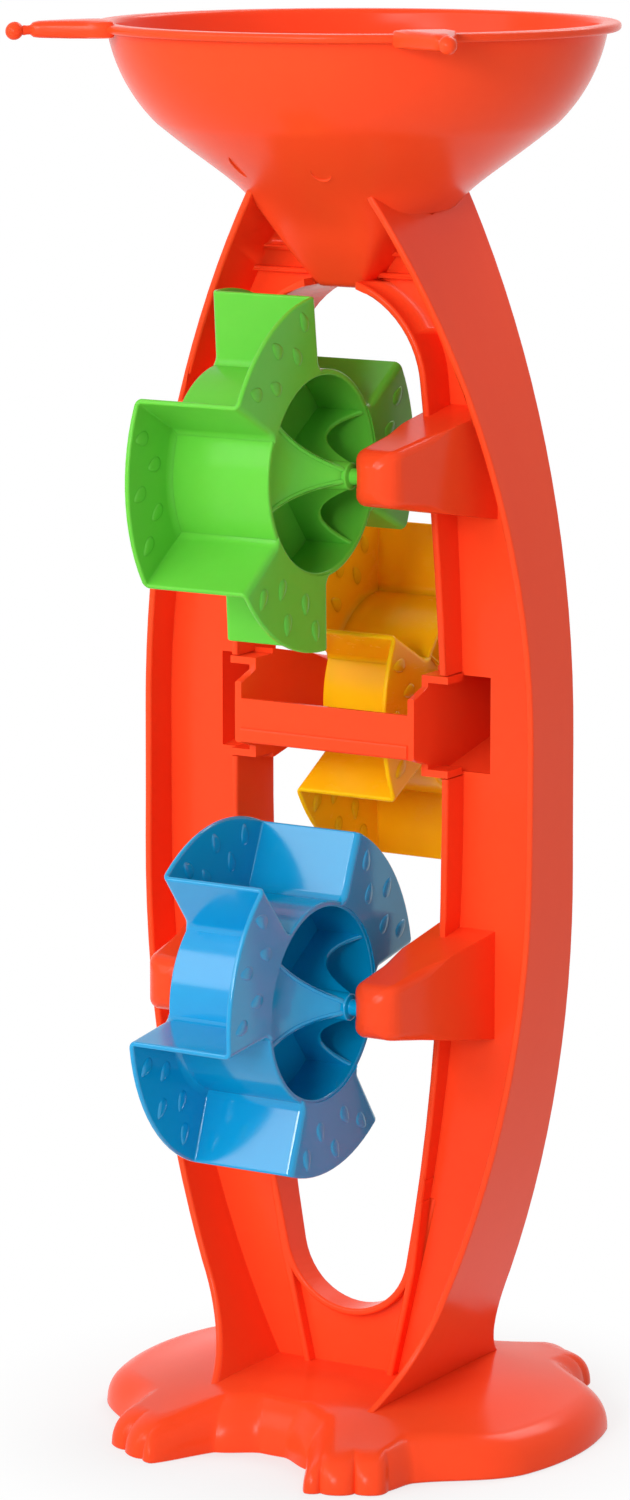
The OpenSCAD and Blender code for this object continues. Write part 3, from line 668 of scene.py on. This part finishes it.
def base_skin():
    """Rings from the middle of the top over the shoulder to the floor, then back up inside."""
    turn = np.linspace(0, 2 * math.pi, 961)[:-1]
    foot = hump(quarter_angle(turn) - 61, 16)

    def row(tilt, inset=0.0, scale=1.0):
        """A ring at a tilt from 0 at the floor to 90 at the top."""
        groove = GROOVE * math.cos(math.radians(tilt)) ** 0.6 if tilt < 90 else 0
        roll = (SHOULDER_ROLL + 1.5 * foot - inset / 2) * (1 - math.cos(math.radians(tilt)))
        radius = base_edge(turn, groove, inset + roll) * scale
        height = (top_height(radius) - inset) * math.sin(math.radians(tilt)) ** 0.85
        return np.stack([radius * np.cos(turn), radius * np.sin(turn), height], axis=1)

    rows = [row(90, scale=scale)
            for scale in (0, 0.2, 0.4, 0.5, 0.58, 0.65, 0.72, 0.79, 0.86, 0.92, 0.96, 0.985)]
    rows += [row(tilt) for tilt in (90, 84, 78, 72, 66, 60, 54, 48, 42, 36, 30, 24, 18, 12, 7, 3)]
    low = row(0)
    rows += [low * [1, 1, 0] + [0, 0, 0.35], low * [0.996, 0.996, 0]]
    rows += [row(tilt, BASE_WALL) for tilt in (0, 12, 30, 50, 70, 90)]
    rows += [row(90, BASE_WALL, scale) for scale in (0.92, 0.8, 0.65, 0.5, 0.3, 0)]
    return np.stack(rows), False, True


make_piece("base_shell", [base_skin()], red_plastic, "base", "stand", sharp=60)

# %% [markdown]
# ## Tool hooks
# Two clips sit on the lip to hang a spade or rake. Each is a flat tongue that narrows to a neck
# and ends in a ball. One section, a superellipse whose width, height and power change along the
# way, draws all of it.

# %% Sections along a hook
HOOK_END, HOOK_Z, BALL_R, NECK_FROM = 107, 432.6, 2.7, 97


def hook_skin(heading):
    """Sections from the lip outwards, along a heading in degrees: half width, half height and
    power at each distance from the funnel's middle. Beyond the neck the hook droops a little."""
    along = np.array([75.6, 75.7, 76.2, 77.5, 79.5, 83, 88, 93, 97, 98.6, 99.2, 99.6, 100.6, 101.4])
    wide = np.array([0.0, 8.2, 9.0, 9.3, 9.3, 8.0, 6.1, 4.2, 2.9, 2.5, 1.9, 1.4, 1.35, 1.5])
    tall = np.array([0.0, 2.0, 2.5, 2.7, 2.7, 2.7, 2.7, 2.6, 2.5, 2.2, 1.7, 1.4, 1.35, 1.5])
    power = np.array([7, 7, 7, 7, 7, 7, 6, 5, 4, 3.5, 3, 2, 2, 2.0])
    ball = np.radians(np.linspace(150, 0, 12))
    along = np.concatenate([along, HOOK_END - BALL_R + BALL_R * np.cos(ball)])
    wide = np.concatenate([wide, BALL_R * np.sin(ball)])
    tall = np.concatenate([tall, BALL_R * np.sin(ball)])
    power = np.concatenate([power, np.full(len(ball), 2.0)])
    turn = np.linspace(0, 2 * math.pi, 49)[None, :-1]
    half_x, half_y = [np.maximum(size, 1e-6)[:, None] for size in (wide, tall)]
    reach = superellipse(half_x, half_y, power[:, None], turn)
    across, up = reach * np.cos(turn), reach * np.sin(turn)
    droop = -np.clip(along - NECK_FROM, 0, None)[:, None] * 0.05
    out = np.repeat(along[:, None], across.shape[1], axis=1)
    facing = math.radians(heading)
    return np.stack([out * math.cos(facing) - across * math.sin(facing),
                     out * math.sin(facing) + across * math.cos(facing),
                     HOOK_Z + up + droop], axis=-1), False, True


for side, heading in (("left", -135), ("right", -45)):
    make_piece(side + "_hook_clip", [hook_skin(heading)], red_plastic, side + "_tool_hook", "stand")

# %% [markdown]
# ## Hoop frame
# The hoop is one large moulding: outer flange, web and inner rib make an H section, with hollow
# noses for the axles and a bar that ties the legs. The engineering solid has all its true faces but
# its edges are dead sharp. A mould takes the sharpness off every outside edge, and gives the noses
# generous rounds that grow towards their tips. So a copy of the solid is first trimmed with cups:
# each cup is hollow in the shape of a well rounded nose, and what sticks into its walls is taken
# off. Blocks in the same cut open the rib's crown where the spout passes, and let the straight leg
# ribs run smoothly out of the opening's rib, and a plug in the shape of the funnel keeps the hoop
# from showing inside it. Then the copy is cleaned to its real faces, and a bevel takes off the
# outside edges.

# %% Cups that round the noses
NOSE_PAST_AXLE, CUP_CLEAR, CUP_FROM = 5.5, 0.03, 22
TIP_SIDE_R, TIP_PLAN_R = 6, 8
ROOT_HALF, HALF_TAPER, TIP_HALF = 17, 8.46, 2.6
ROOT_OUTER, OUTER_TAPER, TIP_OUTER = 50, 5.56, 36.5
ROOT_INNER, TIP_INNER = 29.5, 35.5


def quarter_round(radius, reach, tip):
    """Height of a round of this radius that ends at the tip, above the tip's own height."""
    return np.sqrt(np.clip(radius ** 2 - (reach - tip + radius) ** 2, 0, radius ** 2))


def nose_cup(side, pointing, axle_from_web, axle_z):
    """A cup round one nose. Its hollow is a loft of rounded rectangles that follow the nose's
    plan and side outlines, 0.03 mm clear, with corner rounds growing from nothing to 3 mm. Its
    half height and its outer side taper straight from the web and run smoothly into a round at
    the tip, and its inner side is straight up to its round."""
    tip = axle_from_web + NOSE_PAST_AXLE
    bend = tip - TIP_PLAN_R
    reach = np.concatenate([np.linspace(CUP_FROM, bend, 14),
                            bend + TIP_PLAN_R * np.sin(np.radians(np.linspace(6, 90, 15)))])
    half_bend, outer_bend, inner_bend = tip - 5.165, tip - 7.025, tip - TIP_SIDE_R
    height = np.where(reach < half_bend, ROOT_HALF - HALF_TAPER * reach / half_bend,
                      TIP_HALF + quarter_round(TIP_SIDE_R, reach, tip))
    outer = np.where(reach < outer_bend, ROOT_OUTER - OUTER_TAPER * reach / outer_bend,
                     TIP_OUTER + quarter_round(TIP_PLAN_R, reach, tip))
    inner = np.where(reach < inner_bend, ROOT_INNER,
                     TIP_INNER - quarter_round(TIP_SIDE_R, reach, tip))
    corner = 3 * smooth_step(20, 36, reach)

    def ring(x0, x1, half, radius, y):
        outline = rounded([[x0, -half], [x1, -half], [x1, half], [x0, half]], radius, 7)
        return np.stack([side * outline[:, 0], np.full(len(outline), pointing * y),
                         axle_z + outline[:, 1]], axis=1)

    rings = [ring(26, 52, 20, 0.1, y) for y in (tip + 4, CUP_FROM)]
    for near, far, half, limit, y in zip(inner, outer, height, corner, reach):
        radius = min(limit, 0.9 * half, 0.45 * (far - near))
        rings.append(ring(near - CUP_CLEAR, far + CUP_CLEAR, half + CUP_CLEAR, radius, y + CUP_CLEAR))
    return capped(rings)


def block(outline, side, near, far):
    """A straight block: an outline of (across, up) points carried from near to far along Y."""
    outline = np.array(outline) * [side, 1]
    return capped([np.stack([outline[:, 0], np.full(len(outline), y), outline[:, 1]], axis=1)
                   for y in (near, far)])


def funnel_plug(inset):
    """The space inside the funnel's outer skin, let in by an inset, as one closed skin."""
    return capped(rings_of(side_rows(0), np.linspace(0, 2 * math.pi, 97)[None, :-1], inset))


def inside_funnel(x, y, z):
    """Whether a point in mm lies above the spout's foot and within the funnel's outer skin."""
    rows = side_rows(0)
    half_x, half_y, power = [np.interp(z, rows[:, 3], rows[:, k]) for k in range(3)]
    return z > rows[0, 3] and math.hypot(x, y) < superellipse(half_x, half_y, power, math.atan2(y, x))


CROWN, CROWN_Y = [[-8.3, 350], [8.3, 350], [9.6, 362], [-9.6, 362]], (10.6, 30)
LEG_RIB_STEP, STEP_Y = [[28.6, 80.5], [31, 75], [24.1, 50]], (1.12, 9)
BOTH = (-1, 1)
cups = [nose_cup(side, -1, AXLE_FRONT, z) for side in BOTH for z in (BOTTOM_Z, TOP_Z)]
cups += [nose_cup(side, 1, AXLE_BACK, MIDDLE_Z) for side in BOTH]
blocks = [block(CROWN, 1, *[pointing * y for y in CROWN_Y]) for pointing in BOTH]
blocks += [block(LEG_RIB_STEP, side, *[pointing * y for y in STEP_Y])
           for side in BOTH for pointing in BOTH]
cutter_mesh, cutter_open = skins_to_mesh("cups", cups + blocks)
plug_mesh, plug_open = skins_to_mesh("plug", [funnel_plug(0.5)])
print("cups:", len(cups), "blocks:", len(blocks), "open edges:", cutter_open + plug_open)


# %% A trimmed and rounded copy of the hoop
POCKETS = [(-1, BOTTOM_Z, 19.5), (1, MIDDLE_Z, 17), (-1, TOP_Z, 19.5)]
SHARP, SAME_FACE, BEVEL = math.radians(28), math.radians(0.6), 0.75


def trimmed(source, cutter_meshes):
    """A copy of the solid's mesh with the cutters' volumes taken away, one after the other."""
    body = bpy.data.objects.new("untrimmed", source.data.copy())
    cutters = [bpy.data.objects.new("cutter", mesh) for mesh in cutter_meshes]
    for item in [body] + cutters:
        bpy.context.scene.collection.objects.link(item)
    work = bmesh.new()
    work.from_mesh(body.data)
    bmesh.ops.remove_doubles(work, verts=work.verts, dist=MERGE)
    work.to_mesh(body.data)
    work.free()
    for cutter in cutters:
        cut = body.modifiers.new("trim", "BOOLEAN")
        cut.operation, cut.object, cut.solver = "DIFFERENCE", cutter, "EXACT"
    mesh = bpy.data.meshes.new_from_object(body.evaluated_get(bpy.context.evaluated_depsgraph_get()))
    for item in [body] + cutters:
        bpy.data.objects.remove(item)
    return mesh


def keeps_its_edge(x, y, z):
    """Whether an edge here, in mm, stays as it is: the noses have their own rounds, a pocket and
    the crown are too tight for a bevel, and other edges are hidden in the funnel or the base."""
    on_nose = 26 < abs(x) < 51 and abs(y) > 15.5 and 120 < z < 330
    in_pocket = 29 < abs(x) < 51 and any(
        -11.5 < pointing * y < 15 and abs(z - axle_z) < reach for pointing, axle_z, reach in POCKETS)
    at_crown = abs(x) < 12 and z > 345
    return on_nose or in_pocket or at_crown or inside_funnel(x, y, z) or z < 12.5


def rounded_copy(name, mesh, material, node, body):
    """Merges the triangles back into faces, then bevels the outside edges sharper than 28
    degrees, apart from those that keep their edge."""
    mesh.name = name
    work = bmesh.new()
    work.from_mesh(mesh)
    bmesh.ops.remove_doubles(work, verts=work.verts, dist=MERGE)
    bmesh.ops.dissolve_limit(work, angle_limit=SAME_FACE, verts=work.verts, edges=work.edges)
    layer = work.edges.layers.float.new("bevel_weight_edge")
    counts = [0, 0]
    for edge in work.edges:
        if len(edge.link_faces) == 2 and edge.calc_face_angle(0) > SHARP:
            middle = np.array(edge.verts[0].co + edge.verts[1].co) / (2 * MM) - SHIFT
            kept = edge.calc_face_angle_signed(0) < 0 or keeps_its_edge(*middle)
            edge[layer] = 0.0 if kept else 1.0
            counts[kept] += 1
    work.to_mesh(mesh)
    work.free()
    mesh.materials.clear()
    mesh.materials.append(material)
    shade_by_angle(mesh, SHARP)
    piece = bpy.data.objects.new(name, mesh)
    bpy.context.scene.collection.objects.link(piece)
    bevel = piece.modifiers.new("outside edges", "BEVEL")
    bevel.limit_method = "WEIGHT"
    bevel.width = BEVEL * MM
    bevel.segments = 3
    bevel.use_clamp_overlap = False
    bevel.miter_outer = "MITER_ARC"
    keep_flats(piece)
    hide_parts(node)
    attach(piece, body)
    print(name, "rounded edges", counts[0], "kept edges", counts[1])


hoop_mesh = trimmed(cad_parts["hoop_frame"], [cutter_mesh, plug_mesh])
rounded_copy("hoop_moulding", hoop_mesh, red_plastic, "hoop_frame", "stand")

# %% [markdown]
# ## Floor and light
# The photograph is a studio cut-out on white. Two soft lamps stand in front and a large one to
# the front left, which the glossy paddles mirror. A fourth is behind and above, and an even sky
# fills the rest. The floor is white and keeps the toy's shadow near it, then fades to pure white
# for the camera and for reflections.

# %% White floor with a shadow
FLOOR_HALF, FLOOR_BELOW = 40, 0.0002
SHADOW_NEAR, SHADOW_FAR = 0.03, 0.14
floor_mesh = bpy.data.meshes.new("floor")
corners = [(x * FLOOR_HALF, y * FLOOR_HALF, 0) for x, y in ((-1, -1), (1, -1), (1, 1), (-1, 1))]
floor_mesh.from_pydata(corners, [], [(0, 1, 2, 3)])
floor = bpy.data.objects.new("floor", floor_mesh)
floor.location.z = -FLOOR_BELOW
bpy.context.scene.collection.objects.link(floor)


def seen_rays(wire):
    """One where the camera, a reflection or a transmission looks, nothing for other rays."""
    direct, glossy, through = [wire.node("ShaderNodeLightPath", output="Is %s Ray" % kind)
                               for kind in ("Camera", "Glossy", "Transmission")]
    return wire.maths("MINIMUM", direct + glossy + through, 1.0)


floor_material, wire = new_material("white floor")
spot = wire.node("ShaderNodeTexCoord", output="Object")
distance = wire.node("ShaderNodeVectorMath", {"operation": "LENGTH"}, {0: spot}, output="Value")
far = wire.node("ShaderNodeMapRange", {"interpolation_type": "SMOOTHSTEP"},
                {"Value": distance, "From Min": SHADOW_NEAR, "From Max": SHADOW_FAR})
paint = wire.node("ShaderNodeBsdfDiffuse", {}, {"Color": (0.8, 0.8, 0.8, 1)})
white = wire.node("ShaderNodeEmission", {}, {"Color": (1, 1, 1, 1), "Strength": 1.0})
fade = (far * 0.45 + 0.55) * seen_rays(wire)
ground = wire.node("ShaderNodeMixShader", {}, {0: fade, 1: paint, 2: white})
wire.node("ShaderNodeOutputMaterial", {}, {"Surface": ground})
floor_mesh.materials.append(floor_material)

# %% Even sky, white where it is seen
world = bpy.data.worlds.new("studio")
world.use_nodes = True
world.node_tree.nodes.clear()
wire = Wire(world.node_tree)
level = seen_rays(wire) * 0.55 + 0.45
sky = wire.node("ShaderNodeBackground", {}, {"Color": (1, 1, 1, 1), "Strength": level})
wire.node("ShaderNodeOutputWorld", {}, {"Surface": sky})
bpy.context.scene.world = world


# %% Soft lamps
TOY_MIDDLE = (0, 0, 0.22)


def soft_lamp(name, place, size, power):
    """Square area lamp that looks at the middle of the toy."""
    data = bpy.data.lights.new(name, "AREA")
    data.size = size
    data.energy = power
    lamp = bpy.data.objects.new(name, data)
    lamp.location = place
    aim = np.array(TOY_MIDDLE) - np.array(place)
    lamp.rotation_euler = (math.atan2(math.hypot(aim[0], aim[1]), -aim[2]), 0,
                           math.atan2(aim[1], aim[0]) - math.pi / 2)
    bpy.context.scene.collection.objects.link(lamp)


soft_lamp("key", (-0.2, -1.9, 1.1), 0.5, 9)
soft_lamp("card", (-1.0, -1.5, 1.1), 1.1, 11)
soft_lamp("front", (0.35, -1.9, 0.7), 0.5, 15)
soft_lamp("back", (0.1, 1.3, 1.6), 0.9, 14)
